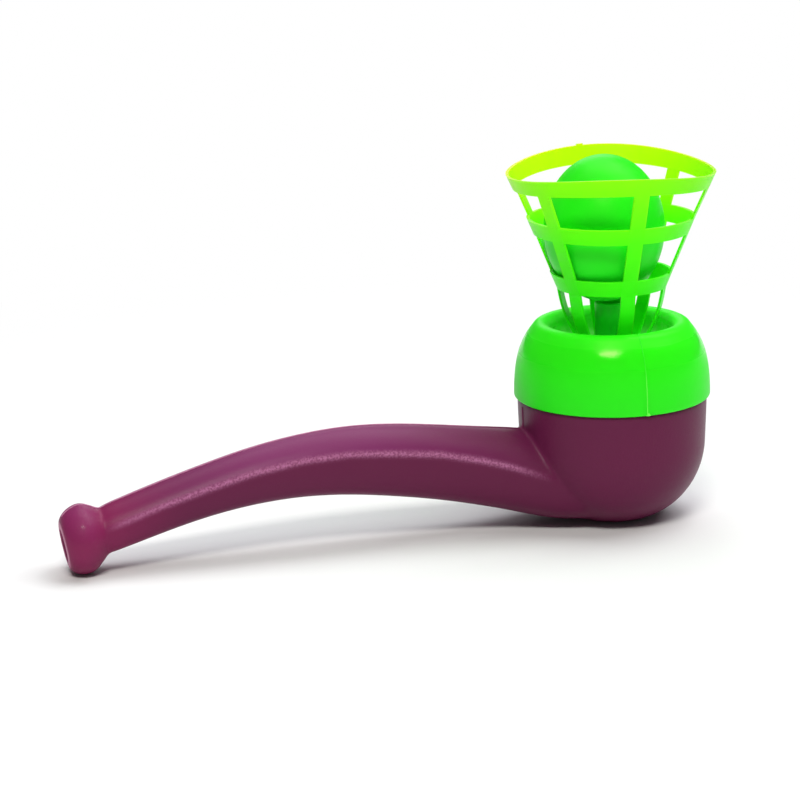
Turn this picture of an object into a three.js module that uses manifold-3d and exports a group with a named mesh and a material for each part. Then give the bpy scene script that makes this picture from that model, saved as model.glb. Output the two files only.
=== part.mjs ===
// A blow ball toy shaped like a smoking pipe: air blown through the curved stem leaves an upright
// nozzle in the bowl and floats a light egg-shaped ball above its basket. Millimetres, +Z up.
import * as THREE from "three";
import { mergeVertices } from "three/addons/utils/BufferGeometryUtils.js";
import Module from "manifold-3d";

const wasm = await Module();
wasm.setup();

// Clearance between pieces that slide or push together, how far a cutter runs past a face, and the share of
// the clearance within which corners count as one
const fitGap = 0.3;
const overrun = 2;
const weldShare = 1e-4;

// Pipe body: one hollow blown shell with bowl, stem and mouthpiece
const bodyWall = 1.5;
const bowlRadius = 23.8;
const bowlWaistRadius = 23.4;
const bowlWaistHeight = 20.5;
const bowlHeight = 31.6;
const footRadius = 7.3;
const undersideStart = 4;
const footCut = 0.3;
const ledgeWidth = 1.4;
const neckHeight = 7;
const stemReach = 140.8;
const stemArchHeight = 30;
const stemHalfWidth = 6.5;
const bulbRadius = 8.5;
const bulbFaceRadius = 4.9;
const bulbNoseLength = 5;
const bulbTailLength = 7.2;
const bulbNeckRadius = 4.9;
const mouthHoleRadius = 3.6;
const mouthTilt = THREE.MathUtils.degToRad(8.5);
const bulbDroopShare = 0.12;

// Collar: the round cap pushed over the bowl's neck, with a rolled lip and a dish inside it
const collarRimWall = 1.9;
const collarWall = 1.4;
const collarHeight = 19;
const rimRound = 0.6;
const crownWidth = 6.4;
const crownRise = 13.2;
const lipRadius = 1.5;
const lipLead = 2.5;
const lipStart = THREE.MathUtils.degToRad(24);
const dishDepth = 8.2;
const dishTaper = 7.2;

// Nozzle tube: pushed up through the dish until its flange stops under the floor
const nozzleRadius = 4.1;
const nozzleBore = 3.1;
const nozzleHeight = 13;
const nozzleChamfer = 0.4;
const flangeWidth = 2.3;
const flangeThickness = 1.2;

// Ball: light and egg-shaped, it rests a little off the nozzle's axis
const ballRadius = 15;
const ballHalfHeight = 18.3;
const ballOffset = 1.8;

// Basket: three bands and six flat ribs on one cone, moulded together with the hub
const basketHeight = 46.8;
const ballRoom = 4.65;
const stripThickness = 0.75;
const bandHeight = 4;
const middleBandDrop = 12.2;
const lowerBandDrop = 26;
const ribBelly = 1.2;
const ribWidth = 3.7;
const ribCount = 6;
const ribTurn = THREE.MathUtils.degToRad(-2.5);
const hubWall = 2.3;
const hubHeight = 3.4;
const rimWave = 1.3;
const rimLean = 0.5;
const waveTurn = THREE.MathUtils.degToRad(-15);
const gateHeight = 0.5;
const gateWidth = 1.7;

// Facets round each piece
const bowlSides = 48;
const bulbSides = 28;
const collarSides = 54;
const nozzleSides = 24;
const ballSides = 32;
const basketSides = 54;
const arcSteps = 9;
const rimSteps = 3;
const crownSteps = 7;
const lipSteps = 5;
const dishSteps = 5;
const ballSteps = 10;

// Sizes that follow from the ones above
const neckRadius = bowlRadius - ledgeWidth;
const neckTop = bowlHeight + neckHeight;
const collarBore = neckRadius + fitGap;
const collarRadius = collarBore + collarRimWall;
const crownTop = bowlHeight + collarHeight;
const lipCentreRadius = collarRadius - crownWidth;
const lipCentreHeight = crownTop - lipRadius;
const dishFloor = crownTop - dishDepth;
const nozzleTop = dishFloor + nozzleHeight;
const hubBore = nozzleRadius + fitGap;
const hubRadius = hubBore + hubWall;
const ballCentre = nozzleTop + fitGap + ballHalfHeight;
const coneSlope = (ballRadius + ballRoom - hubRadius) / (ballCentre - dishFloor);
const rimHeight = dishFloor + basketHeight;
const rimRadius = hubRadius + coneSlope * basketHeight;
const halfLength = (stemReach + rimRadius) / 2;
const bowlAxisX = stemReach - halfLength;

// Makes a solid of a closed three.js geometry, for joining and cutting
function solid(geometry) {
  const bare = geometry.index ? geometry.toNonIndexed() : geometry.clone();
  bare.deleteAttribute("normal");
  bare.deleteAttribute("uv");
  const merged = mergeVertices(bare, fitGap * weldShare);
  return new wasm.Manifold(
    new wasm.Mesh({
      numProp: 3,
      vertProperties: merged.attributes.position.array,
      triVerts: new Uint32Array(merged.index.array),
    }),
  );
}

// Turns a joined or cut solid back into a three.js geometry
function geometryOf(body) {
  const made = body.getMesh();
  const geometry = new THREE.BufferGeometry();
  geometry.setAttribute("position", new THREE.BufferAttribute(made.vertProperties, 3));
  geometry.setIndex(new THREE.BufferAttribute(made.triVerts, 1));
  geometry.computeVertexNormals();
  return geometry;
}

function joined(bodies) {
  return bodies.reduce((sum, body) => sum.add(body));
}

// Revolves a profile of [radius, height] about +Z
function revolved(profile, sides) {
  const points = profile.map(([radius, height]) => new THREE.Vector2(radius, height));
  return new THREE.LatheGeometry(points, sides).rotateX(Math.PI / 2);
}

// Skins rings of points, all of one count, and closes both ends with a fan
function lofted(rings) {
  const count = rings[0].length;
  const positions = [];
  const faces = [];
  for (const ring of rings) {
    for (const point of ring) positions.push(point.x, point.y, point.z);
  }
  for (let row = 0; row + 1 < rings.length; row++) {
    for (let i = 0; i < count; i++) {
      const a = row * count + i;
      const b = row * count + ((i + 1) % count);
      faces.push(a, b, a + count, b, b + count, a + count);
    }
  }
  const ends = [rings[0], rings[rings.length - 1]];
  ends.forEach((ring, end) => {
    const centre = new THREE.Vector3();
    for (const point of ring) centre.addScaledVector(point, 1 / count);
    const hub = positions.length / 3;
    positions.push(centre.x, centre.y, centre.z);
    const first = end === 0 ? 0 : (rings.length - 1) * count;
    for (let i = 0; i < count; i++) {
      const a = first + i;
      const b = first + ((i + 1) % count);
      if (end === 0) faces.push(hub, b, a);
      else faces.push(hub, a, b);
    }
  });
  const geometry = new THREE.BufferGeometry();
  geometry.setAttribute("position", new THREE.Float32BufferAttribute(positions, 3));
  geometry.setIndex(faces);
  return geometry;
}

// A quarter ellipse from [x0, y0], where it runs along the second axis or the first, to [x1, y1]
function quarter([x0, y0], [x1, y1], steps, startsAlongFirst) {
  const points = [];
  for (let i = 0; i <= steps; i++) {
    const angle = (i / steps) * (Math.PI / 2);
    const leading = Math.sin(angle);
    const trailing = 1 - Math.cos(angle);
    const u = startsAlongFirst ? leading : trailing;
    const v = startsAlongFirst ? trailing : leading;
    points.push([x0 + (x1 - x0) * u, y0 + (y1 - y0) * v]);
  }
  return points;
}

// Bowl: a flat foot cut across the rounded underside, and a nearly straight wall. The same profile set in
// by the wall is the cavity, which stays open through the neck.
function bowlProfile(inset) {
  const lowest = [undersideStart, inset - footCut];
  const waist = [bowlWaistRadius - inset, bowlWaistHeight];
  const curve = quarter(lowest, waist, arcSteps, true);
  const underside = curve.filter(([radius, height]) => radius > footRadius + footCut && height > inset);
  return [[0, inset], [footRadius, inset], ...underside];
}

function bowlOuter() {
  const profile = bowlProfile(0);
  profile.push([bowlRadius, bowlHeight]);
  profile.push([neckRadius, bowlHeight]);
  profile.push([neckRadius, neckTop]);
  profile.push([0, neckTop]);
  return solid(revolved(profile, bowlSides));
}

function bowlCavity() {
  const neckBore = neckRadius - bodyWall;
  const profile = bowlProfile(bodyWall);
  profile.push([bowlRadius - bodyWall, bowlHeight - ledgeWidth - bodyWall]);
  profile.push([neckBore, bowlHeight]);
  profile.push([neckBore, neckTop + overrun]);
  profile.push([0, neckTop + overrun]);
  return solid(revolved(profile, bowlSides));
}

// Stem stations from mouthpiece to bowl. Each holds shares: how much of the bowl's radius and of the free
// run the station lies from the bowl's axis, the crest's, shoulder's and belly's share of the arch height,
// and the half width as shares of the stem's half width and of the bowl's radius.
const stationShares = [
  { rim: 1, run: 0.942, crest: 0.506, shoulder: 0.373, belly: 0.11, stem: 0.88, flare: 0 },
  { rim: 1, run: 0.881, crest: 0.577, shoulder: 0.443, belly: 0.172, stem: 0.96, flare: 0 },
  { rim: 1, run: 0.796, crest: 0.684, shoulder: 0.557, belly: 0.266, stem: 0.98, flare: 0 },
  { rim: 1, run: 0.702, crest: 0.79, shoulder: 0.655, belly: 0.363, stem: 1, flare: 0 },
  { rim: 1, run: 0.6, crest: 0.896, shoulder: 0.757, belly: 0.428, stem: 1.02, flare: 0 },
  { rim: 1, run: 0.498, crest: 0.965, shoulder: 0.818, belly: 0.45, stem: 1.05, flare: 0 },
  { rim: 1, run: 0.396, crest: 1, shoulder: 0.837, belly: 0.427, stem: 1.08, flare: 0 },
  { rim: 1, run: 0.294, crest: 0.982, shoulder: 0.805, belly: 0.367, stem: 1.13, flare: 0 },
  { rim: 1, run: 0.2, crest: 0.936, shoulder: 0.762, belly: 0.3, stem: 1.19, flare: 0 },
  { rim: 1, run: 0.115, crest: 0.888, shoulder: 0.685, belly: 0.22, stem: 1.31, flare: 0 },
  { rim: 1, run: 0.055, crest: 0.86, shoulder: 0.62, belly: 0.16, stem: 1.31, flare: 0.05 },
  { rim: 1, run: 0.004, crest: 0.832, shoulder: 0.55, belly: 0.1, stem: 1.31, flare: 0.125 },
  { rim: 0.77, run: 0, crest: 0.79, shoulder: 0.475, belly: 0.053, stem: 1.31, flare: 0.23 },
  { rim: 0.51, run: 0, crest: 0.74, shoulder: 0.41, belly: 0.03, stem: 1.31, flare: 0.34 },
  { rim: 0.26, run: 0, crest: 0.71, shoulder: 0.35, belly: 0.028, stem: 1.31, flare: 0.42 },
];

// Half of the stem's section, from crest to belly: across as a share of the half width, then how far down
// the roof from crest to shoulder, then how far down the flank from shoulder to belly
const roofShares = [
  [0, 0],
  [0.34, 0.1],
  [0.66, 0.4],
  [0.88, 0.76],
];
const flankShares = [
  [0.985, 0.04],
  [1, 0.3],
  [0.95, 0.58],
  [0.78, 0.81],
  [0.45, 0.955],
  [0, 1],
];

// One ring of the stem at a station; the inset makes the bore's ring
function stemRing(station, inset) {
  const x = -(station.rim * bowlRadius + station.run * (stemReach - bowlRadius));
  const halfWidth = station.stem * stemHalfWidth + station.flare * bowlRadius - inset;
  const crest = station.crest * stemArchHeight - inset;
  const shoulder = station.shoulder * stemArchHeight - inset / 2;
  const belly = station.belly * stemArchHeight + inset;
  const half = [];
  for (const [across, down] of roofShares) {
    half.push(new THREE.Vector3(x, -across * halfWidth, crest - down * (crest - shoulder)));
  }
  for (const [across, down] of flankShares) {
    half.push(new THREE.Vector3(x, -across * halfWidth, shoulder - down * (shoulder - belly)));
  }
  const other = half
    .slice(1, -1)
    .reverse()
    .map((point) => new THREE.Vector3(point.x, -point.y, point.z));
  return [...half, ...other];
}

function stemLoft(inset) {
  return solid(lofted(stationShares.map((station) => stemRing(station, inset))));
}

// Mouthpiece bulb about its own axis, from the end face: rounded nose, then a soft waist into the stem.
// The air hole runs in from the end face, and the bulb is hollow behind it.
function bulbProfile(inset) {
  const widest = [bulbRadius - inset, bulbNoseLength];
  const profile = [[0, inset], ...quarter([bulbFaceRadius, inset], widest, arcSteps, true)];
  for (let i = 1; i <= arcSteps; i++) {
    const share = i / arcSteps;
    const swell = (1 + Math.cos(Math.PI * share)) / 2;
    const radius = bulbNeckRadius + (bulbRadius - bulbNeckRadius) * swell - inset;
    profile.push([radius, bulbNoseLength + bulbTailLength * share]);
  }
  profile.push([0, bulbNoseLength + bulbTailLength]);
  return profile;
}

// Lays a bulb solid, made upright, down along the mouthpiece's axis. It stands on a facet, and droops a
// little towards its end face.
function layDown(geometry) {
  const droop = new THREE.Matrix4().makeShear(0, 0, 0, 0, -bulbDroopShare, 0);
  return geometry.rotateZ(Math.PI / bulbSides).applyMatrix4(droop).rotateY(Math.PI / 2 - mouthTilt);
}

function bulbPlace() {
  const shape = layDown(revolved(bulbProfile(0), bulbSides));
  shape.computeBoundingBox();
  return [-stemReach - shape.boundingBox.min.x, 0, -shape.boundingBox.min.z];
}

function placedBulb(profile) {
  return solid(layDown(revolved(profile, bulbSides)).translate(...bulbPlace()));
}

function mouthHole() {
  const depth = bulbNoseLength;
  const profile = [
    [0, -overrun],
    [mouthHoleRadius, -overrun],
    [mouthHoleRadius, depth],
    [0, depth],
  ];
  return placedBulb(profile);
}

function pipeBody() {
  const outside = joined([bowlOuter(), stemLoft(0), placedBulb(bulbProfile(0))]);
  const cavities = [bowlCavity(), stemLoft(bodyWall), placedBulb(bulbProfile(bodyWall)), mouthHole()];
  return geometryOf(outside.subtract(joined(cavities)));
}

// Collar section, one closed loop: up the outside from the rim, over the lip, down into the dish, across
// its floor to the nozzle's hole, and back along the underside. A wall of the crown rises straight from
// its start and comes to its end at the lip's own slope.
function crownCurve(start, rise, end, lead) {
  const curve = new THREE.CubicBezierCurve(
    new THREE.Vector2(...start),
    new THREE.Vector2(start[0], start[1] + rise),
    new THREE.Vector2(end[0] + lead * Math.sin(lipStart), end[1] - lead * Math.cos(lipStart)),
    new THREE.Vector2(...end),
  );
  return curve.getSpacedPoints(crownSteps).map((point) => [point.x, point.y]);
}

function lipPoint(radius, angle) {
  return [lipCentreRadius + radius * Math.cos(angle), lipCentreHeight + radius * Math.sin(angle)];
}

function collarProfile() {
  const lip = [];
  for (let i = 0; i <= lipSteps; i++) {
    lip.push(lipPoint(lipRadius, lipStart + ((Math.PI - lipStart) * i) / lipSteps));
  }
  const rimEnd = [collarRadius, bowlHeight + rimRound];
  const rim = quarter([collarRadius - rimRound, bowlHeight], rimEnd, rimSteps, true);
  const outside = crownCurve(rimEnd, crownRise - rimRound, lip[0], lipLead);
  const insideStart = [collarBore, neckTop + fitGap];
  const insideRise = (crownRise * (crownTop - insideStart[1])) / collarHeight;
  const insideEnd = lipPoint(lipRadius - collarWall, lipStart);
  const inside = crownCurve(insideStart, insideRise, insideEnd, lipLead / 2);
  const dishRadius = lipCentreRadius - lipRadius - dishTaper;
  const underFloor = dishFloor - collarWall;
  const dishWall = quarter([dishRadius, dishFloor], lip[lipSteps], dishSteps, true).reverse();
  const underLip = [lipCentreRadius, lipCentreHeight - collarWall];
  const underWall = quarter([dishRadius, underFloor], underLip, dishSteps, true);
  return [
    ...rim.slice(0, -1),
    ...outside.slice(0, -1),
    ...lip.slice(0, -1),
    ...dishWall,
    [hubBore, dishFloor],
    [hubBore, underFloor],
    ...underWall.slice(0, -1),
    ...inside.reverse(),
    [collarBore, bowlHeight],
    rim[0],
  ];
}

function collar() {
  return revolved(collarProfile(), collarSides);
}

// Nozzle tube section, one closed loop: flange under the dish floor, straight tube, chamfered tip
function nozzleTube() {
  const flangeTop = dishFloor - collarWall;
  const flangeBottom = flangeTop - flangeThickness;
  const profile = [
    [nozzleBore, flangeBottom],
    [nozzleRadius + flangeWidth, flangeBottom],
    [nozzleRadius + flangeWidth, flangeTop],
    [nozzleRadius, flangeTop],
    [nozzleRadius, nozzleTop - nozzleChamfer],
    [nozzleRadius - nozzleChamfer, nozzleTop],
    [nozzleBore, nozzleTop],
    [nozzleBore, flangeBottom],
  ];
  return revolved(profile, nozzleSides);
}

function ball() {
  const profile = [
    ...quarter([0, -ballHalfHeight], [ballRadius, 0], ballSteps, true),
    ...quarter([ballRadius, 0], [0, ballHalfHeight], ballSteps, false).slice(1),
  ];
  return revolved(profile, ballSides);
}

// Radius of the basket's outer cone at a height
function coneRadius(height) {
  return hubRadius + coneSlope * (height - dishFloor);
}

// A band of the basket: a short piece of the cone's wall
function band(top) {
  const low = top - bandHeight;
  const profile = [
    [coneRadius(low), low],
    [coneRadius(top), top],
    [coneRadius(top) - stripThickness, top],
    [coneRadius(low) - stripThickness, low],
    [coneRadius(low), low],
  ];
  return solid(revolved(profile, basketSides));
}

// A rib: a flat strip from the hub to the rim, along +X before it is turned. Above the lower band it lies
// in the cone's wall, and below it swells outwards like the base of a tulip.
function rib(top, width) {
  const foot = dishFloor + stripThickness;
  const waist = rimHeight - lowerBandDrop - bandHeight;
  const heights = [];
  for (let i = 0; i <= arcSteps; i++) heights.push(foot + ((waist - foot) * i) / arcSteps);
  heights.push(rimHeight - middleBandDrop, top);
  const rings = heights.map((height) => {
    const share = Math.min(1, (height - foot) / (waist - foot));
    const outer = coneRadius(height) + ribBelly * Math.sin(Math.PI * share);
    const inner = outer - stripThickness;
    return [
      new THREE.Vector3(inner, -width / 2, height),
      new THREE.Vector3(outer, -width / 2, height),
      new THREE.Vector3(outer, width / 2, height),
      new THREE.Vector3(inner, width / 2, height),
    ];
  });
  return lofted(rings);
}

function hub() {
  const profile = [
    [hubBore, dishFloor],
    [hubRadius, dishFloor],
    [hubRadius, dishFloor + hubHeight - stripThickness],
    [hubRadius - stripThickness, dishFloor + hubHeight],
    [hubBore, dishFloor + hubHeight],
    [hubBore, dishFloor],
  ];
  return solid(revolved(profile, basketSides));
}

// The thin rim is out of true: high at front and back, highest at the back, and low at the sides. This dies
// out down to the middle band.
function outOfTrue(geometry) {
  const position = geometry.attributes.position;
  const calm = rimHeight - middleBandDrop;
  for (let i = 0; i < position.count; i++) {
    const height = position.getZ(i);
    const share = Math.min(1, Math.max(0, (height - calm) / middleBandDrop));
    const angle = Math.atan2(position.getY(i), position.getX(i)) - waveTurn;
    const rise = rimLean * Math.sin(angle) - rimWave * Math.cos(2 * angle);
    position.setZ(i, height + share * rise);
  }
  geometry.computeVertexNormals();
  return geometry;
}

function basket() {
  const bodies = [band(rimHeight), band(rimHeight - middleBandDrop), band(rimHeight - lowerBandDrop), hub()];
  for (let i = 0; i < ribCount; i++) {
    const angle = Math.PI / 2 + ribTurn + (i * 2 * Math.PI) / ribCount;
    bodies.push(solid(rib(rimHeight, ribWidth).rotateZ(angle)));
  }
  bodies.push(solid(rib(rimHeight + gateHeight, gateWidth).rotateZ(Math.PI / 2 + ribTurn)));
  return outOfTrue(geometryOf(joined(bodies)));
}

const bodyPlastic = new THREE.MeshStandardMaterial({ color: 0x6b2748, roughness: 0.45, metalness: 0 });
const collarPlastic = new THREE.MeshStandardMaterial({ color: 0x32e620, roughness: 0.38, metalness: 0 });
const nozzlePlastic = new THREE.MeshStandardMaterial({ color: 0x14a81c, roughness: 0.4, metalness: 0 });
const basketPlastic = new THREE.MeshStandardMaterial({ color: 0x7cf016, roughness: 0.35, metalness: 0 });
const ballPlastic = new THREE.MeshStandardMaterial({ color: 0x34dc2c, roughness: 0.5, metalness: 0 });

function piece(name, geometry, material) {
  const mesh = new THREE.Mesh(geometry, material);
  mesh.name = name;
  return mesh;
}

const upright = new THREE.Group();
upright.position.x = bowlAxisX;
upright.add(piece("pipe_body", pipeBody(), bodyPlastic));
upright.add(piece("collar", collar(), collarPlastic));
upright.add(piece("nozzle_tube", nozzleTube(), nozzlePlastic));
upright.add(piece("basket", basket(), basketPlastic));
const egg = piece("ball", ball(), ballPlastic);
egg.position.set(-ballOffset, 0, ballCentre);
upright.add(egg);

const pipeToy = new THREE.Group();
pipeToy.add(upright);

export default pipeToy;
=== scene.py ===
"""A blow ball toy in the shape of a smoking pipe: hollow blown pipe body, push-on collar with its
nozzle, open moulded basket and a light egg-shaped ball. It stands on a pale table top."""

import math
from functools import cached_property
from itertools import groupby

import bmesh
import bpy
from mathutils import Matrix, Vector


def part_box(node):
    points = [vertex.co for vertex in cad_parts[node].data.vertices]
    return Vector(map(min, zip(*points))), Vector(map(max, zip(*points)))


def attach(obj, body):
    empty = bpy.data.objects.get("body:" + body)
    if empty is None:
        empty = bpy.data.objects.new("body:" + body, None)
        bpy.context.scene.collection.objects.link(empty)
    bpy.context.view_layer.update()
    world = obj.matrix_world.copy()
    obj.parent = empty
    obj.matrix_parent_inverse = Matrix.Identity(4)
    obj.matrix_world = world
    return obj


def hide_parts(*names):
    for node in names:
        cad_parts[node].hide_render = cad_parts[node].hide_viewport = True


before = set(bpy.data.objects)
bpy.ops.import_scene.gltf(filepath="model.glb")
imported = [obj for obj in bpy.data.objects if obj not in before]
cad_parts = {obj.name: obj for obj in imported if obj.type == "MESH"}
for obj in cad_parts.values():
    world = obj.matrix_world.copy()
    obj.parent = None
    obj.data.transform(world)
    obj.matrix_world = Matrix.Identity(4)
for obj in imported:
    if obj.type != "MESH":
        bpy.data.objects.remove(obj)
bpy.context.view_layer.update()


# Pipe body. One hollow piece of purple polyethylene, blown in a mould of two halves that part along the
# middle of the stem: mouthpiece bulb, curved stem with soft shoulders, and the round bowl on its flat foot.
# Sizes here and below are in millimetres, as distances from the bowl's axis and heights over the table.

MM = 0.001
nozzle_low, nozzle_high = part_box("nozzle_tube")
bowl_axis = (nozzle_low.x + nozzle_high.x) / 2
bowl_radius, bowl_height, neck_radius, neck_top = 23.8, 31.6, 22.4, 38.6
waist_radius, waist_height, flare_radius, flare_height = 23.4, 20.5, 23.62, 26
foot_radius, underside_start, foot_cut, body_wall = 7.3, 4, 0.3, 1.3


def arc(start, end, steps, flat_start):
    """A quarter of an ellipse from start to end; flat_start says that it leaves start sideways."""
    points = []
    for step in range(steps + 1):
        angle = step / steps * math.pi / 2
        leading, trailing = math.sin(angle), 1 - math.cos(angle)
        across, up = (leading, trailing) if flat_start else (trailing, leading)
        points.append((start[0] + (end[0] - start[0]) * across, start[1] + (end[1] - start[1]) * up))
    return points


def bowl_curve(inset):
    """The round underside of the bowl, from the middle of its foot up to the waist."""
    start, waist = (underside_start, inset - foot_cut), (waist_radius - inset, waist_height)
    return [(0, inset), (foot_radius, inset)] + [
        point for point in arc(start, waist, steps=24, flat_start=True)
        if point[0] > foot_radius + foot_cut and point[1] > inset
    ]


def turned(profile, steps, closed=False):
    """Spins a profile of (radius, height) about the upright axis into a closed skin."""
    form = bmesh.new()
    points = [form.verts.new((radius, 0, height)) for radius, height in profile]
    lines = [form.edges.new(pair) for pair in zip(points, points[1:])]
    if closed:
        lines.append(form.edges.new((points[-1], points[0])))
    bmesh.ops.spin(
        form, geom=points + lines, cent=(0, 0, 0), axis=(0, 0, 1), angle=math.tau,
        steps=steps, use_merge=True,
    )
    bmesh.ops.remove_doubles(form, verts=form.verts[:], dist=0.001)
    bmesh.ops.recalc_face_normals(form, faces=form.faces[:])
    return form


def placed(made):
    """Puts a new object into the scene."""
    bpy.context.scene.collection.objects.link(made)
    return made


def piece(name, form):
    """Turns a form in millimetres about the bowl's axis into an object in metres in the CAD's frame."""
    bmesh.ops.scale(form, vec=(MM, MM, MM), verts=form.verts[:])
    bmesh.ops.translate(form, vec=(bowl_axis, 0, 0), verts=form.verts[:])
    mesh = bpy.data.meshes.new(name)
    form.to_mesh(mesh)
    form.free()
    return placed(bpy.data.objects.new(name, mesh))


bowl_outside = bowl_curve(inset=0) + [
    (flare_radius, flare_height), (bowl_radius, bowl_height), (neck_radius, bowl_height),
    (neck_radius, neck_top), (0, neck_top),
]
pipe_shell = piece("pipe_shell", turned(bowl_outside, steps=144))

# Stations along the stem from the mouthpiece to inside the bowl: distance from the bowl's axis, heights of
# crest, shoulder and belly, and half the width
stem_stations = [
    (134.0, 15.1, 11.2, 3.3, 5.7),
    (126.9, 17.4, 13.3, 5.1, 6.25),
    (116.9, 20.6, 16.7, 8.0, 6.4),
    (105.9, 23.8, 19.7, 10.9, 6.5),
    (94.0, 27.0, 22.7, 12.8, 6.65),
    (82.1, 29.05, 24.5, 13.5, 6.8),
    (70.1, 30.15, 25.1, 12.8, 7.0),
    (58.2, 29.6, 24.2, 11.0, 7.35),
    (47.2, 28.2, 22.9, 9.0, 7.75),
    (37.3, 26.8, 20.6, 6.6, 8.5),
    (30.2, 25.9, 18.6, 4.8, 9.7),
    (24.3, 25.1, 16.5, 3.0, 11.5),
    (18.3, 23.8, 14.3, 1.5, 13.2),
    (12.1, 22.3, 12.3, 0.9, 14.6),
    (6.2, 21.3, 10.5, 1.5, 14.6),
]

# Half of the stem's section, as shares of the half width and of the drop: the roof falls from the crest to
# the shoulder, and the flank from the shoulder to the belly
roof_steps = [(0, 0), (0.34, 0.1), (0.66, 0.4), (0.9, 0.78)]
flank_steps = [(0.99, 0.04), (1, 0.3), (0.95, 0.58), (0.78, 0.81), (0.45, 0.955), (0, 1)]
shoulder_crease = 0.75


def ring_of(form, places):
    """A closed ring of new points and edges."""
    ring = [form.verts.new(place) for place in places]
    for pair in zip(ring, ring[1:] + ring[:1]):
        form.edges.new(pair)
    return ring


def bridge(form, rings):
    """Joins a form's rings, one to the next, and closes both ends."""
    bmesh.ops.bridge_loops(form, edges=form.edges[:])
    for ring in (rings[0], rings[-1]):
        form.faces.new(ring)
    bmesh.ops.recalc_face_normals(form, faces=form.faces[:])


def settle(made):
    """Makes what the modifiers show the piece's own mesh."""
    bpy.context.view_layer.update()
    seen = made.evaluated_get(bpy.context.evaluated_depsgraph_get())
    mesh = bpy.data.meshes.new_from_object(seen)
    made.modifiers.clear()
    made.data = mesh
    return made


def stem_piece(name, inset):
    """The stem through all its stations, rounded along its length and kept firmer at the shoulders."""
    form = bmesh.new()
    crease = form.edges.layers.float.new("crease_edge")
    rings = []
    for away, crest, shoulder, belly, half_width in stem_stations:
        crest, belly, half_width = crest - inset, belly + inset, half_width - inset
        half = [(half_width * out, crest - down * (crest - shoulder)) for out, down in roof_steps]
        half += [(half_width * out, shoulder - down * (shoulder - belly)) for out, down in flank_steps]
        outline = half + [(-across, height) for across, height in half[-2:0:-1]]
        rings.append(ring_of(form, [(-away, across, height) for across, height in outline]))
    bridge(form, rings)
    for row in (len(roof_steps), len(rings[0]) - len(roof_steps)):
        for near, far in zip(rings, rings[1:]):
            form.edges.get((near[row], far[row]))[crease] = shoulder_crease
    made = piece(name, form)
    rounding = made.modifiers.new("rounding", "SUBSURF")
    rounding.levels = rounding.render_levels = 3
    return settle(made)


bulb_radius, bulb_face, bulb_nose, bulb_tail, bulb_neck, bulb_steps = 8.5, 4.9, 5, 7.2, 4.9, 16
mouth_reach, mouth_tilt, bulb_droop = 140.8, math.radians(8.5), 0.12


def bulb_curve(inset):
    """The bulb from the middle of its end face: a round nose, then a tail that sinks into the stem."""
    nose = arc((bulb_face, inset), (bulb_radius - inset, bulb_nose), steps=bulb_steps, flat_start=True)
    curve = [(0, inset)] + nose
    for step in range(1, bulb_steps + 1):
        swell = (1 + math.cos(math.pi * step / bulb_steps)) / 2
        radius = bulb_neck + (bulb_radius - bulb_neck) * swell - inset
        curve.append((radius, bulb_nose + bulb_tail * step / bulb_steps))
    return curve + [(0, bulb_nose + bulb_tail)]


def laid_down(profile):
    """A bulb form along the mouthpiece, tilted and drooping, with its end face at the bowl's axis."""
    form = turned(profile, steps=96)
    droop = Matrix(((1, 0, -bulb_droop), (0, 1, 0), (0, 0, 1))).to_4x4()
    turn = Matrix.Rotation(math.pi / 2 - mouth_tilt, 4, "Y")
    bmesh.ops.transform(form, matrix=turn @ droop, verts=form.verts[:])
    return form


# A first bulb shows how far it has to move to rest on the table at the toy's full length
trial = laid_down(bulb_curve(inset=0))
trial_end = min(corner.co.x for corner in trial.verts)
trial_low = min(corner.co.z for corner in trial.verts)
bulb_place = (-mouth_reach - trial_end, 0, -trial_low)
trial.free()


def bulb_piece(name, profile):
    form = laid_down(profile)
    bmesh.ops.translate(form, vec=bulb_place, verts=form.verts[:])
    return piece(name, form)


def combine(made, others, operation):
    """Welds other pieces on, or cuts them away, and throws them out."""
    for other in others:
        step = made.modifiers.new(other.name, "BOOLEAN")
        step.operation = operation
        step.solver = "EXACT"
        step.object = other
    settle(made)
    for other in others:
        bpy.data.objects.remove(other)
    return made


combine(pipe_shell, [stem_piece("stem", inset=0), bulb_piece("bulb", bulb_curve(inset=0))], "UNION")


def smoothed(made, turns, group=""):
    """Smooths a skin this many times over, all of it or by its points' shares in a group."""
    easing = made.modifiers.new("easing", "SMOOTH")
    easing.factor = 0.5
    easing.iterations = turns
    easing.vertex_group = group
    return settle(made)


# The blown wall rounds every inner corner, so the welded skin is remeshed finely and smoothed
skin_voxel = 0.5
skin = pipe_shell.modifiers.new("skin", "REMESH")
skin.mode = "VOXEL"
skin.voxel_size = skin_voxel * MM
smoothed(pipe_shell, turns=4)


def tapered(value, start, rise, end, fall):
    """A share that grows from 0 at the start over the rise, and is back at 0 at the end after the fall."""
    return max(0, min(1, (value - start) / rise, (end - value) / fall))


# Low down, the stem's sides run into the bowl without an edge
low_blend = pipe_shell.vertex_groups.new(name="low_blend")
for corner in pipe_shell.data.vertices:
    along_stem = tapered((bowl_axis - corner.co.x) / MM, start=-2, rise=4, end=30, fall=6)
    share = min(along_stem, tapered(corner.co.z / MM, start=0.8, rise=1.2, end=13, fall=5))
    if share > 0:
        low_blend.add([corner.index], share, "REPLACE")
smoothed(pipe_shell, turns=40, group="low_blend")

# The mould's parting line runs along the crest, round the bulb and back under the stem as a fine raised bead
bead_radius, bead_low, bead_high, bead_off_face = 0.24, 0.6, 31, 0.9
joining_gap, fewest_points, point_stride = 2, 8, 2


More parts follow.
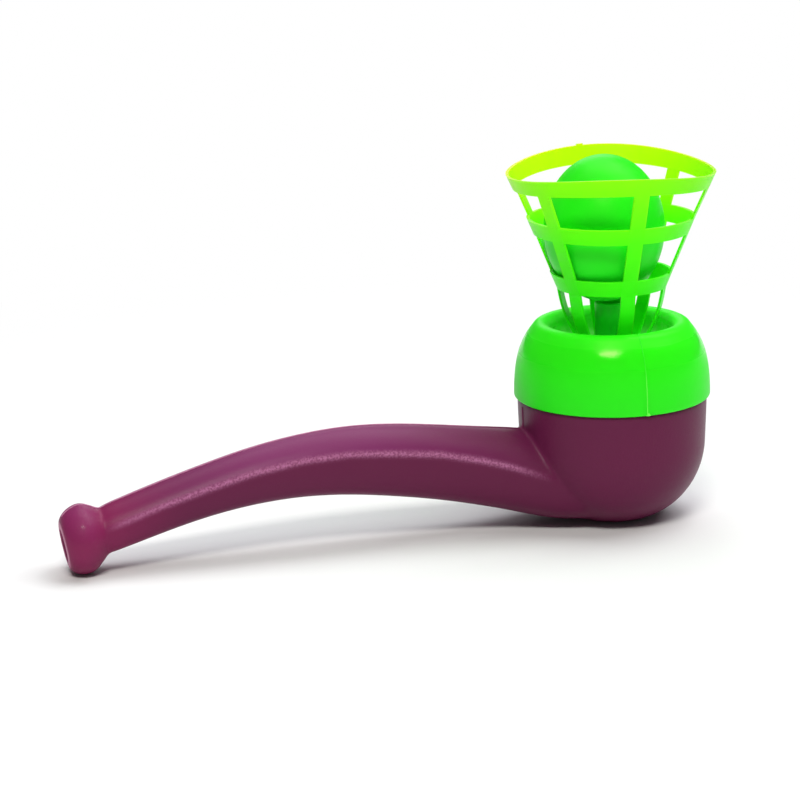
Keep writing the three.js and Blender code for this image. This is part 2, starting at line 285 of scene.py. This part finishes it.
def parting_outline(made):
    """Where the middle plane of the mould crosses a piece: its outline as one ordered list of points."""
    form = bmesh.new()
    form.from_mesh(made.data)
    cut = bmesh.ops.bisect_plane(
        form, geom=form.verts[:] + form.edges[:] + form.faces[:], plane_co=(0, 0, 0), plane_no=(0, 1, 0),
        dist=1e-7,
    )["geom_cut"]
    corners = {item for item in cut if isinstance(item, bmesh.types.BMVert)}
    start = here = min(corners, key=lambda corner: corner.co.x)
    path, last = [start.co.copy()], None
    while True:
        ways = [edge.other_vert(here) for edge in here.link_edges]
        ways = [way for way in ways if way in corners and way is not last]
        if not ways:
            break
        last, here = here, min(ways, key=lambda way: (way.co - here.co).length)
        if here is start:
            break
        path.append(here.co.copy())
    form.free()
    return path


def beaded(name, path, radius):
    """A fine bead of round section along a path in the CAD's frame."""
    line = bpy.data.curves.new(name, "CURVE")
    line.dimensions = "3D"
    line.bevel_depth = radius * MM
    line.bevel_resolution = 2
    line.use_fill_caps = True
    strand = line.splines.new("POLY")
    strand.points.add(len(path) - 1)
    for point, place in zip(strand.points, path):
        point.co = (*place, 1)
    rod = placed(bpy.data.objects.new(name, line))
    mesh = bpy.data.meshes.new_from_object(rod)
    bpy.data.objects.remove(rod)
    return placed(bpy.data.objects.new(name, mesh))


face_centre = Vector((bowl_axis + bulb_place[0] * MM, 0, bulb_place[2] * MM))
face_inward = Vector((math.cos(mouth_tilt), 0, math.sin(mouth_tilt)))


def carries_bead(place):
    """Over the foot, under the collar, and clear of the mouthpiece's end face."""
    off_face = (place - face_centre).dot(face_inward) > bead_off_face * MM
    return off_face and bead_low * MM < place.z < bead_high * MM


runs = [list(places) for beads_on, places in groupby(parting_outline(pipe_shell), carries_bead) if beads_on]
if len(runs) > 1 and (runs[0][0] - runs[-1][-1]).length < joining_gap * MM:
    runs[0] = runs.pop() + runs[0]
beads = [
    beaded(f"parting_{count}", run[::point_stride], bead_radius)
    for count, run in enumerate(runs) if len(run) > fewest_points
]

# The hollow: bowl, stem and bulb set in by the wall, and the rounded air hole in the end face
hollow_slope, cut_past = 2.6, 2
mouth_hole, hole_round, hole_flare, hole_skim = 3.6, 0.7, 1.3, 0.05
bowl_hollow = bowl_curve(inset=body_wall) + [
    (bowl_radius - body_wall, bowl_height - hollow_slope), (neck_radius - body_wall, bowl_height),
    (neck_radius - body_wall, neck_top + cut_past), (0, neck_top + cut_past),
]
hole_edge = mouth_hole + hole_round
hole = [(0, -cut_past), (hole_edge + hole_flare, -cut_past), (hole_edge, -hole_skim)]
hole += arc((hole_edge, 0), (mouth_hole, hole_round), steps=6, flat_start=False)[1:]
hole += [(mouth_hole, bulb_nose), (0, bulb_nose)]
hollows = [
    piece("bowl_hollow", turned(bowl_hollow, steps=96)),
    stem_piece("stem_hollow", inset=body_wall),
    bulb_piece("bulb_hollow", bulb_curve(inset=body_wall)),
    bulb_piece("mouth_hole", hole),
]


def shade(made, sharp_degrees):
    """Smooth shading, with edges kept where the surface turns by more than this."""
    made.data.shade_smooth()
    made.data.set_sharp_from_angle(angle=math.radians(sharp_degrees))
    return made


shade(combine(pipe_shell, hollows, "DIFFERENCE"), sharp_degrees=50)

# Each point of the skin keeps two numbers, which the plastic reads: a painted highlight along the edge of the
# stem's shoulders, and a painted sheen on the flats over them and on the upper side of the bulb.
highlight_width, stem_start, bulb_start, bulb_fade, bulb_sheen = 0.75, 20, 131, 3, 0.6
shoulder_out, shoulder_down = flank_steps[0]
for mark in ("rubbed_edge", "upper_flat"):
    pipe_shell.data.attributes.new(mark, "FLOAT", "POINT")
shoulder_highlight, upper = (pipe_shell.data.attributes[mark].data for mark in ("rubbed_edge", "upper_flat"))
for corner in pipe_shell.data.vertices:
    away = (bowl_axis - corner.co.x) / MM
    for far, near in zip(stem_stations, stem_stations[1:]):
        if near[0] <= away <= far[0] and away > stem_start:
            share = (far[0] - away) / (far[0] - near[0])
            _, shoulder, belly, half_width = (a + (b - a) * share for a, b in zip(far[1:], near[1:]))
            rise = corner.co.z / MM - shoulder + shoulder_down * (shoulder - belly)
            out = abs(corner.co.y) / MM - half_width * shoulder_out
            highlight_share = tapered(away, start=stem_start, rise=10, end=bulb_start, fall=5)
            sheen_share = tapered(away, start=stem_start, rise=45, end=bulb_start, fall=40)
            shoulder_highlight[corner.index].value = highlight_share * math.exp(-(rise * rise + out * out) / highlight_width ** 2)
            upper[corner.index].value = sheen_share * min(1, max(0, rise))
            break
    # The bulb's upper side gets a painted sheen where it faces up
    if away > bulb_start:
        share = min(1, (away - bulb_start) / bulb_fade)
        upper[corner.index].value = share * max(0, corner.normal.z) * bulb_sheen


class Wire:
    """One output in a node tree. Sums, products and powers of wires add Math nodes."""

    def __init__(self, finish, socket):
        self.finish = finish
        self.socket = socket

    def math(self, operation, first, second):
        return self.finish.add("ShaderNodeMath", {"operation": operation}, {0: first, 1: second})

    def __add__(self, other):
        return self.math("ADD", self, other)

    def __sub__(self, other):
        return self.math("SUBTRACT", self, other)

    def __rsub__(self, other):
        return self.math("SUBTRACT", other, self)

    def __mul__(self, other):
        return self.math("MULTIPLY", self, other)

    def __pow__(self, other):
        return self.math("POWER", self, other)

    def __rpow__(self, other):
        return self.math("POWER", other, self)

    __radd__ = __add__
    __rmul__ = __mul__


class Finish:
    """The node tree of one moulded plastic, of the table or of the studio's light."""

    def __init__(self, name, kind=bpy.data.materials):
        self.owner = kind.new(name)
        self.owner.use_nodes = True
        self.tree = self.owner.node_tree
        self.tree.nodes.clear()

    def add(self, kind, settings=None, values=None, output=0):
        """Places a node, with its settings first, then its values and links, and gives one output."""
        node = self.tree.nodes.new(kind)
        for key, value in (settings or {}).items():
            if key == "stops":
                ramp = node.color_ramp
                while len(ramp.elements) < len(value):
                    ramp.elements.new(1)
                for element, (position, colour) in zip(ramp.elements, value):
                    element.position = position
                    element.color = colour
            else:
                setattr(node, key, value)
        for key, value in (values or {}).items():
            if isinstance(value, Wire):
                self.tree.links.new(value.socket, node.inputs[key])
            else:
                node.inputs[key].default_value = value
        return Wire(self, node.outputs[output]) if len(node.outputs) else None

    @cached_property
    def place(self):
        """The piece's Object coordinates."""
        return self.add("ShaderNodeTexCoord", output="Object")

    def noise(self, size, detail=2, stretch=(1, 1, 1)):
        """Soft spots of about this size in millimetres, from 0 to 1."""
        place = self.add("ShaderNodeMapping", None, {"Vector": self.place, "Scale": stretch})
        values = {"Vector": place, "Scale": 1 / (size * MM), "Detail": detail}
        return self.add("ShaderNodeTexNoise", None, values)

    def axis(self, name):
        return self.add("ShaderNodeSeparateXYZ", None, {0: self.place}, output=name)

    def fade(self, value, low, high):
        """0 up to low, 1 from high on, smooth between them."""
        values = {"Value": value, "From Min": low, "From Max": high}
        return self.add("ShaderNodeMapRange", {"interpolation_type": "SMOOTHSTEP"}, values)

    def mixed(self, share, first, second):
        values = {0: share, 6: first, 7: second}
        return self.add("ShaderNodeMix", {"data_type": "RGBA"}, values, output=2)

    def bump(self, height, depth, under=None):
        """Raises the surface by a depth in millimetres, over another bump where one is given."""
        values = {"Height": height, "Distance": depth * MM, "Strength": 1.0}
        if under is not None:
            values["Normal"] = under
        return self.add("ShaderNodeBump", None, values)

    def done(self, **values):
        """Ends a plastic in a Principled BSDF; underscores in the names stand for spaces."""
        named = {key.replace("_", " "): value for key, value in values.items()}
        return self.ended(self.add("ShaderNodeBsdfPrincipled", None, named))

    def ended(self, surface, output="ShaderNodeOutputMaterial"):
        """Ends the tree in its output, and gives the material or world that it belongs to."""
        self.add(output, None, {"Surface": surface})
        return self.owner


def srgb(red, green, blue):
    """A colour as it is read off a screen, 0 to 255, in the linear values that shaders take."""
    shares = (red / 255, green / 255, blue / 255)
    return (*(share / 12.92 if share < 0.04045 else ((share + 0.055) / 1.055) ** 2.4 for share in shares), 1)


def dressed(made, body, slot, material, *nodes):
    """Gives a finished piece its plastic and its body, and hides the CAD nodes that it stands for. The slot
    is not used.
    """
    made.data.materials.clear()
    made.data.materials.append(material)
    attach(made, body)
    if nodes:
        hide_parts(*nodes)
    return made


# The plastic is a satin purple with the fine grain of a blasted mould. It is redder where it is blown thin at
# the mouthpiece. Painted mauve sheen lies on its upper flats, painted pale highlights on the shoulders and
# the end face's rim.
full_purple, cloudy_purple, thin_purple = srgb(96, 26, 64), srgb(88, 26, 64), srgb(126, 31, 78)
sheen_mauve, highlight_mauve, highlight_pink = srgb(126, 48, 104), srgb(176, 108, 150), srgb(196, 124, 158)
body_finish = Finish("purple_polyethylene")
along = body_finish.axis("X")
thin = 1 - body_finish.fade(along, -80 * MM, -50 * MM)
handled = 1 - body_finish.fade(along, bowl_axis - 136 * MM, bowl_axis - 130 * MM)
# A painted pale highlight on the rim of the mouthpiece's end face, which also runs a little into the air hole
from_face = (along - face_centre.x) * face_inward.x
from_face += (body_finish.axis("Z") - face_centre.z) * face_inward.z
face_rim_highlight = 1 - body_finish.fade(from_face, 0.1 * MM, 0.35 * MM)
cloud = body_finish.noise(size=9, detail=3)
grain = body_finish.noise(size=0.5)
fine_grain = body_finish.noise(size=0.2, detail=1)
# The painted shoulder highlight sparkles over fine spots; the skin's points give it and the painted top sheen
highlight_sparkle = body_finish.fade(body_finish.noise(size=0.5, detail=3), 0.35, 0.65) * (1 - thin * 0.85)
edge = body_finish.add("ShaderNodeAttribute", {"attribute_name": "rubbed_edge"}, output="Fac")
flat = body_finish.add("ShaderNodeAttribute", {"attribute_name": "upper_flat"}, output="Fac")
body_colour = body_finish.mixed(thin, full_purple, thin_purple)
body_colour = body_finish.mixed(cloud * 0.2, body_colour, cloudy_purple)
# Painted highlights on the end face's rim and the shoulders, and a painted sheen on the upper flats
body_colour = body_finish.mixed(face_rim_highlight * 0.8, body_colour, highlight_pink)
body_colour = body_finish.mixed(flat * 0.6, body_colour, sheen_mauve)
body_colour = body_finish.mixed(edge * (0.4 + highlight_sparkle * 0.6), body_colour, highlight_mauve)
purple = body_finish.done(
    Base_Color=body_colour, Roughness=0.32 + grain * 0.16 + handled * 0.12, Specular_IOR_Level=0.15,
    Coat_Weight=handled * 0.06, Coat_Roughness=0.12,
    Normal=body_finish.bump(grain, 0.03, under=body_finish.bump(fine_grain, 0.012)),
)
dressed(pipe_shell, "pipe", "body_plastic", purple, "pipe_body")

# The bead stands a little proud and is painted paler than the wall, a painted highlight along it, least at
# the bowl
line_mauve, line_pink, line_purple = srgb(150, 84, 122), srgb(196, 134, 168), srgb(104, 34, 72)
line_finish = Finish("parting_line_plastic")
bead_mottle = line_finish.noise(size=1.6)
bead_highlight_colour = line_finish.mixed(bead_mottle, line_mauve, line_pink)
near_bowl = line_finish.fade(line_finish.axis("X"), bowl_axis - 42 * MM, bowl_axis - 26 * MM)
pale_purple = line_finish.done(
    Base_Color=line_finish.mixed(near_bowl * 0.9, bead_highlight_colour, line_purple), Roughness=0.42 + bead_mottle * 0.1,
    Specular_IOR_Level=0.16,
)
for bead in beads:
    dressed(shade(bead, sharp_degrees=50), "pipe", "body_plastic", pale_purple)


# Collar. A soft bright green cap, injection moulded, that is pushed over the bowl's neck. Its mouth rolls
# over a round lip into a dish, and a mould seam runs down its front to a small nick in the rim.

collar_bore, collar_radius, collar_wall, rim_round, bore_overlap = 22.7, 24.6, 1.4, 0.6, 0.3
lip_x, lip_z, lip_radius, lip_start, lip_steps = 17.7, 48.2, 2.4, math.radians(33), 16
crown_rise, crown_lead, inside_rise, inside_lead = 13.2, 2.4, 8.1, 1.25
dish_floor, dish_radius, nozzle_hole = 42.4, 9.5, 4.4


def bent(start, rise, end, lead, steps):
    """A crown wall in one bend: it leaves start upright and reaches end at the slope of the lip."""
    over_start = (start[0], start[1] + rise)
    before_end = (end[0] + lead * math.sin(lip_start), end[1] - lead * math.cos(lip_start))
    handles = (start, over_start, before_end, end)
    points = []
    for step in range(steps + 1):
        gone = step / steps
        left = 1 - gone
        pulls = (left ** 3, 3 * left * left * gone, 3 * left * gone * gone, gone ** 3)
        across, up = (sum(pull * handle[way] for pull, handle in zip(pulls, handles)) for way in (0, 1))
        points.append((across, up))
    return points


def lip_point(radius, angle):
    return lip_x + radius * math.cos(angle), lip_z + radius * math.sin(angle)


lip_sweep = math.pi - lip_start
lip = [lip_point(lip_radius, lip_start + lip_sweep * step / lip_steps) for step in range(lip_steps + 1)]
rim_low, rim_side = (collar_radius - rim_round, bowl_height), (collar_radius, bowl_height + rim_round)
rim = arc(rim_low, rim_side, steps=6, flat_start=True)
crown = bent(rim[-1], crown_rise - rim_round, lip[0], crown_lead, steps=32)
bore_top, under_lip = (collar_bore, neck_top + bore_overlap), lip_point(lip_radius - collar_wall, lip_start)
inside = bent(bore_top, inside_rise, under_lip, inside_lead, steps=20)
dish_wall = arc((dish_radius, dish_floor), lip[-1], steps=20, flat_start=True)[::-1]
under_floor, under_wall = (dish_radius, dish_floor - collar_wall), (lip_x, lip_z - collar_wall)
under_dish = arc(under_floor, under_wall, steps=20, flat_start=True)
collar_profile = (
    rim[:-1] + crown[:-1] + lip[:-1] + dish_wall
    + [(nozzle_hole, dish_floor), (nozzle_hole, dish_floor - collar_wall)]
    + under_dish[:-1] + inside[::-1] + [(collar_bore, bowl_height)]
)
collar_cap = piece("collar_cap", turned(collar_profile, steps=160, closed=True))


def blunt_cone(name, place, foot, tip, length):
    form = bmesh.new()
    bmesh.ops.create_cone(
        form, cap_ends=True, segments=12, radius1=foot, radius2=tip, depth=length,
        matrix=Matrix.Translation(place),
    )
    return piece(name, form)


# The nick in the rim beside the seam's end, and the burr that was left there
nick_side, nick_rise, burr_side, burr_rise, burr_inset = 1.3, 0.1, 0.3, 0.85, 0.35
nick_place = (nick_side, -collar_radius, bowl_height + nick_rise)
combine(collar_cap, [blunt_cone("nick", nick_place, foot=0.5, tip=0.2, length=1.2)], "DIFFERENCE")
shade(collar_cap, sharp_degrees=35)
burr_place = (burr_side, -collar_radius + burr_inset, bowl_height + burr_rise)
seam_burr = shade(blunt_cone("seam_burr", burr_place, foot=0.62, tip=0.08, length=1.5), sharp_degrees=50)

# The seam starts on the rim's round edge and ends on top of the lip
seam_radius, seam_first, seam_last = 0.11, 5, 9
seam_line = rim[seam_first:] + crown[1:] + lip[1:seam_last + 1]
seam_path = [Vector((bowl_axis, -radius * MM, height * MM)) for radius, height in seam_line]
collar_seam = shade(beaded("collar_seam", seam_path, seam_radius), sharp_degrees=50)

# The green lets light in. It is painted darker low down and lighter up to the lip as painted shade, and
# painted paler inside the dish with mottled painted reflections there. It is duller on top of the lip and low
# down.
low_green, high_green, flow_green = srgb(34, 232, 26), srgb(46, 250, 20), srgb(32, 216, 30)
dish_green, reflection_green = srgb(98, 240, 86), srgb(136, 238, 122)
collar_finish = Finish("bright_green_collar")
height = collar_finish.axis("Z")
lift = collar_finish.fade(height, 32 * MM, 50 * MM)
dull_lip = collar_finish.fade(height, 46.3 * MM, 49.3 * MM)
dull_low = 1 - collar_finish.fade(height, 39 * MM, 46.5 * MM)
from_axis = ((collar_finish.axis("X") - bowl_axis) ** 2 + collar_finish.axis("Y") ** 2) ** 0.5
in_dish = 1 - collar_finish.fade(from_axis, 14.2 * MM, 16.6 * MM)
flow = collar_finish.noise(size=7)
orange_peel = collar_finish.noise(size=1.1)
specks = collar_finish.fade(collar_finish.noise(size=0.5, detail=1), 0.68, 0.78)
dish_reflection = collar_finish.fade(collar_finish.noise(size=1.8, detail=3), 0.42, 0.62)
# Painted shade: darker low down, lighter up to the lip
collar_colour = collar_finish.mixed(lift, low_green, high_green)
collar_colour = collar_finish.mixed(flow * 0.2, collar_colour, flow_green)
# Painted light inside the dish, with mottled painted reflections over it
collar_colour = collar_finish.mixed(in_dish * 0.85, collar_colour, dish_green)
collar_colour = collar_finish.mixed(in_dish * dish_reflection * 0.5, collar_colour, reflection_green)
collar_green = collar_finish.done(
    Base_Color=collar_colour, Specular_IOR_Level=0.21, Specular_Tint=(1, 0.96, 0.5, 1),
    Roughness=0.11 + flow * 0.05 + specks * 0.08 + (dull_lip * 0.3 + dull_low * 0.3),
    Subsurface_Weight=0.5, Subsurface_Radius=(0.4, 1, 0.3), Subsurface_Scale=3 * MM,
    Normal=collar_finish.bump(orange_peel, 0.03, under=collar_finish.bump(specks, 0.01)),
)
dressed(collar_cap, "cap", "collar_plastic", collar_green, "collar")

seam_dark, seam_light, seam_top = srgb(84, 244, 58), srgb(120, 252, 86), srgb(42, 240, 24)
seam_finish = Finish("seam_green")
seam_low = seam_finish.mixed(seam_finish.noise(size=2), seam_dark, seam_light)
seam_fades = seam_finish.fade(seam_finish.axis("Z"), 38 * MM, 46 * MM)
seam_green = seam_finish.done(
    Base_Color=seam_finish.mixed(seam_fades, seam_low, seam_top), Roughness=0.4, Specular_IOR_Level=0.25,
)
dressed(collar_seam, "cap", "collar_plastic", seam_green)
dressed(seam_burr, "cap", "collar_plastic", seam_green)


# Nozzle tube. A darker green tube with a flange, pushed up through the floor of the dish. The jet of air
# leaves its rounded tip under the ball.

nozzle_radius, nozzle_bore, nozzle_top, tip_round, bore_round = 4.1, 3.1, 55.4, 0.4, 0.25
flange_radius, flange_low, flange_top, flange_bevel = 6.4, 39.8, 41.0, 0.3
tube_end, tip_edge = (nozzle_radius, nozzle_top - tip_round), (nozzle_radius - tip_round, nozzle_top)
mouth_edge, bore_end = (nozzle_bore + bore_round, nozzle_top), (nozzle_bore, nozzle_top - bore_round)
nozzle_profile = [
    (nozzle_bore, flange_low), (flange_radius - flange_bevel, flange_low),
    (flange_radius, flange_low + flange_bevel), (flange_radius, flange_top), (nozzle_radius, flange_top),
]
nozzle_profile += arc(tube_end, tip_edge, steps=6, flat_start=False)
nozzle_profile += arc(mouth_edge, bore_end, steps=4, flat_start=True)
nozzle_spout = shade(piece("nozzle_spout", turned(nozzle_profile, steps=96, closed=True)), sharp_degrees=35)

# The tube is painted lighter towards its tip and darker low in the dish, a painted shade
tube_low_green, tube_top_green = srgb(16, 190, 34), srgb(26, 224, 38)
nozzle_finish = Finish("dark_green_nozzle")
upwards = nozzle_finish.fade(nozzle_finish.axis("Z"), 44 * MM, 54 * MM)
draw_marks = nozzle_finish.noise(size=0.8, stretch=(1, 1, 0.1))
nozzle_green = nozzle_finish.done(
    Base_Color=nozzle_finish.mixed(upwards, tube_low_green, tube_top_green), Specular_IOR_Level=0.25,
    Roughness=0.34 + draw_marks * 0.12,
    Subsurface_Weight=0.5, Subsurface_Radius=(0.4, 1, 0.4), Subsurface_Scale=3 * MM,
    Normal=nozzle_finish.bump(draw_marks, 0.02),
)
dressed(nozzle_spout, "cap", "nozzle_plastic", nozzle_green, "nozzle_tube")


# Basket. One open moulding in thin yellow-green plastic: rim, two lower bands, six flat ribs that swell like
# the base of a tulip, and the hub that grips the nozzle. It has cooled a little out of true.

hub_bore, hub_radius, hub_top = 4.4, 6.7, 45.8
cone_slope, strip, band_height = 0.40981, 0.75, 4
rim_top, middle_drop, lower_drop = 89.2, 12.2, 26
rib_count, rib_width, rib_belly, rib_inset, rib_short, rib_steps = 6, 3.7, 1.2, 0.06, 0.4, 26
gate_width, gate_proud, edge_round = 1.7, 0.36, 0.14
rib_turn, wave_turn, rim_lean, rim_wave = math.radians(-2.5), math.radians(-15), 0.5, 1.3


def cone(height):
    """The radius of the basket's outside at a height."""
    return hub_radius + cone_slope * (height - dish_floor)


def band(name, top):
    low = top - band_height
    profile = [(cone(low), low), (cone(top), top), (cone(top) - strip, top), (cone(low) - strip, low)]
    return piece(name, turned(profile, steps=180, closed=True))


def rib(name, turn, top, width):
    """A flat strip from the hub to the rim, swelling outwards below the lower band."""
    form = bmesh.new()
    foot = dish_floor + strip
    waist = rim_top - lower_drop - band_height
    heights = [foot + (waist - foot) * step / rib_steps for step in range(rib_steps + 1)]
    heights += [waist + (top - waist) * step / rib_steps for step in range(1, rib_steps + 1)]
    rings = []
    for height in heights:
        share = min(1, (height - foot) / (waist - foot))
        outer = cone(height) + rib_belly * math.sin(math.pi * share) - rib_inset
        inner = outer - strip + 2 * rib_inset
        corners = [(inner, -width / 2), (outer, -width / 2), (outer, width / 2), (inner, width / 2)]
        rings.append(ring_of(form, [(out, across, height) for out, across in corners]))
    bridge(form, rings)
    bmesh.ops.rotate(form, cent=(0, 0, 0), matrix=Matrix.Rotation(turn, 3, "Z"), verts=form.verts[:])
    return piece(name, form)


basket_cage = band("basket_cage", rim_top)
hub_profile = [
    (hub_bore, dish_floor), (hub_radius, dish_floor), (hub_radius, hub_top - strip),
    (hub_radius - strip, hub_top), (hub_bore, hub_top),
]
back = math.pi / 2 + rib_turn
cage_parts = [band("middle_band", rim_top - middle_drop), band("lower_band", rim_top - lower_drop)]
cage_parts.append(piece("hub", turned(hub_profile, steps=72, closed=True)))
cage_parts += [
    rib(f"rib_{count}", back + count * math.tau / rib_count, rim_top - rib_short, rib_width)
    for count in range(rib_count)
]
cage_parts.append(rib("gate", back, rim_top + gate_proud, gate_width))
combine(basket_cage, cage_parts, "UNION")
rounding = basket_cage.modifiers.new("rounding", "BEVEL")
rounding.width = edge_round * MM
rounding.segments = 2
rounding.limit_method = "ANGLE"
rounding.angle_limit = math.radians(40)
rounding.use_clamp_overlap = True
settle(basket_cage)

# Out of true from the rim down to the middle band: high at front and back, low at the sides
calm = rim_top - middle_drop
for corner in basket_cage.data.vertices:
    share = min(1, max(0, (corner.co.z / MM - calm) / middle_drop))
    angle = math.atan2(corner.co.y, corner.co.x - bowl_axis) - wave_turn
    corner.co.z += share * (rim_lean * math.sin(angle) - rim_wave * math.cos(2 * angle)) * MM
shade(basket_cage, sharp_degrees=30)

# Painted light shining through the thin strips: green at the hub, yellow-green at the rim, most of all at the
# back
backlit_yellow, streak_green = srgb(198, 255, 10), srgb(60, 240, 20)
cage_greens = [
    (0.0, srgb(38, 238, 22)), (0.3, srgb(48, 246, 20)), (0.62, srgb(84, 254, 14)),
    (0.85, srgb(124, 255, 12)), (1.0, srgb(146, 255, 12)),
]
basket_finish = Finish("yellow_green_basket")
height = basket_finish.axis("Z")
up_cage = basket_finish.add(
    "ShaderNodeMapRange", None, {"Value": height, "From Min": 42 * MM, "From Max": 92 * MM}
)
basket_colour = basket_finish.add("ShaderNodeValToRGB", {"stops": cage_greens}, {"Fac": up_cage})
# The back strips are painted yellower, as painted light shining through them
to_back = basket_finish.fade(basket_finish.axis("Y"), -20 * MM, 24 * MM)
backlit_share = to_back * basket_finish.fade(height, 70 * MM, 90 * MM)
basket_colour = basket_finish.mixed(backlit_share, basket_colour, backlit_yellow)
streaks = basket_finish.noise(size=2.4, stretch=(1, 1, 0.25))
basket_colour = basket_finish.mixed(streaks * 0.1, basket_colour, streak_green)
basket_green = basket_finish.done(
    Base_Color=basket_colour, Roughness=0.3 + streaks * 0.12, Specular_IOR_Level=0.12,
    Specular_Tint=(1, 1, 0.3, 1),
    Subsurface_Weight=0.5, Subsurface_Radius=(1, 1, 0.4), Subsurface_Scale=1.5 * MM,
    Normal=basket_finish.bump(streaks, 0.03, under=basket_finish.bump(basket_finish.noise(size=0.5), 0.008)),
)
dressed(basket_cage, "cage", "basket_plastic", basket_green, "basket")


# Ball. A light hollow egg of thin matt green plastic. Its two halves are welded round the middle, and it
# rests on the nozzle a little off its axis.

ball_radius, ball_half, ball_centre, ball_offset = 15, 18.3, 74.0, 1.8
weld_rise, weld_root, weld_half = 0.07, 0.01, 0.22
lower_half = arc((0, -ball_half), (ball_radius, 0), steps=40, flat_start=True)
upper_half = arc((ball_radius, 0), (0, ball_half), steps=40, flat_start=False)
weld = [
    (ball_radius - weld_root, -weld_half), (ball_radius + weld_rise, -weld_half / 2),
    (ball_radius + weld_rise, weld_half / 2), (ball_radius - weld_root, weld_half),
]
egg_profile = [point for point in lower_half if point[1] < -weld_half * 2] + weld
egg_profile += [point for point in upper_half if point[1] > weld_half * 2]
egg_form = turned(egg_profile, steps=144)
bmesh.ops.translate(egg_form, vec=(-ball_offset, 0, ball_centre), verts=egg_form.verts[:])
egg_ball = shade(piece("egg_ball", egg_form), sharp_degrees=50)

# The ball is painted lighter low down and darker on top, painted light and shade that even out its shading
under_green, over_green, mottle_green = srgb(36, 230, 36), srgb(38, 212, 22), srgb(34, 206, 42)
ball_finish = Finish("matt_green_ball")
upwards = ball_finish.fade(ball_finish.axis("Z"), 60 * MM, 90 * MM)
mottle = ball_finish.noise(size=5, detail=3)
pores = ball_finish.noise(size=0.3)
ball_colour = ball_finish.mixed(upwards, under_green, over_green)
ball_colour = ball_finish.mixed(mottle * 0.18, ball_colour, mottle_green)
ball_green = ball_finish.done(
    Base_Color=ball_colour, Roughness=0.34 + pores * 0.12, Specular_IOR_Level=0.14,
    Specular_Tint=(0.9, 1, 0.4, 1),
    Subsurface_Weight=0.5, Subsurface_Radius=(0.4, 1, 0.4), Subsurface_Scale=4 * MM,
    Normal=ball_finish.bump(pores, 0.02),
)
dressed(egg_ball, "ball", "ball_plastic", ball_green, "ball")


# Table top, soft light and camera. The table is matt near the toy, where it keeps the toy's shadow, and
# plain white to the camera farther off. Places and sizes from here on are in metres.

table_half, matt_reach, white_reach = 4, 0.14, 0.32
table_grey, table_glow, white = (0.73, 0.735, 0.755, 1), srgb(242, 242, 242), (1, 1, 1, 1)
floor_form = bmesh.new()
bmesh.ops.create_grid(floor_form, x_segments=1, y_segments=1, size=table_half)
floor_mesh = bpy.data.meshes.new("table_top")
floor_form.to_mesh(floor_mesh)
floor_form.free()
table_top = placed(bpy.data.objects.new("table_top", floor_mesh))
table_finish = Finish("white_table")
camera_ray, glossy_ray, transmission_ray = (
    table_finish.add("ShaderNodeLightPath", output=f"Is {ray} Ray")
    for ray in ("Camera", "Glossy", "Transmission")
)
seen_directly = camera_ray + glossy_ray + transmission_ray
from_toy = table_finish.add(
    "ShaderNodeVectorMath", {"operation": "LENGTH"}, {0: table_finish.place}, output="Value"
)
far_off = table_finish.fade(from_toy, matt_reach, white_reach)
table_colour = table_finish.mixed(seen_directly, table_glow, table_grey)
matt = table_finish.add("ShaderNodeBsdfDiffuse", None, {"Color": table_colour})
blank = table_finish.add("ShaderNodeEmission", None, {"Color": white})
table_surface = table_finish.add("ShaderNodeMixShader", None, {0: seen_directly * far_off, 1: matt, 2: blank})
floor_mesh.materials.append(table_finish.ended(table_surface))

# A weak even light from all round, which the camera sees as white
sky_strength = 0.12
sky = Finish("studio", bpy.data.worlds)
seen_sky = sky.add("ShaderNodeLightPath", output="Is Camera Ray")
strength = sky.add("ShaderNodeMapRange", None, {"Value": seen_sky, "To Min": sky_strength, "To Max": 1.0})
background = sky.add("ShaderNodeBackground", None, {"Color": white, "Strength": strength})
bpy.context.scene.world = sky.ended(background, "ShaderNodeOutputWorld")


def softbox(name, place, aim, size, power, colour=(1, 1, 1)):
    """An oval lamp of this width and height that faces its aim."""
    lamp = bpy.data.lights.new(name, "AREA")
    lamp.shape = "ELLIPSE"
    lamp.size, lamp.size_y = size
    lamp.energy, lamp.color = power, colour
    made = placed(bpy.data.objects.new(name, lamp))
    made.location = place
    made.rotation_mode = "QUATERNION"
    made.rotation_quaternion = (Vector(aim) - Vector(place)).to_track_quat("-Z", "Y")
    return made


key_aim, panel_aim, warm_white = (0.03, 0, 0.05), (0.02, 0, 0.03), (1, 0.98, 0.9)
softbox("key_softbox", (-0.22, -0.65, 0.9), key_aim, size=(0.42, 0.25), power=7.4, colour=warm_white)
softbox("side_panel", (0.56, -0.02, 0.98), panel_aim, size=(0.9, 0.9), power=7.6)
softbox("rear_panel", (0.08, 0.33, 1.08), panel_aim, size=(1.0, 0.8), power=6.6)
softbox("low_rear_panel", (0.27, 0.94, 0.55), panel_aim, size=(0.6, 0.5), power=1.5)

camera_place, camera_view, camera_roll = (-0.1543, -0.5639, 0.1873), (0.2586, 0.9326, -0.2516), -1.6
camera_data = bpy.data.cameras.new("camera")
camera_data.lens = 110.7
camera_data.sensor_width = 36
camera_data.clip_start = 0.05
camera = placed(bpy.data.objects.new("camera", camera_data))
camera.location = camera_place
forward = Vector(camera_view).normalized()
roll = math.radians(camera_roll)
level_right = forward.cross(Vector((0, 0, 1))).normalized()
level_up = level_right.cross(forward)
right = level_right * math.cos(roll) + level_up * math.sin(roll)
up = right.cross(forward)
camera.rotation_mode = "QUATERNION"
camera.rotation_quaternion = Matrix((right, up, -forward)).transposed().to_quaternion()
bpy.context.scene.camera = camera

bpy.context.scene.view_settings.view_transform = "Standard"
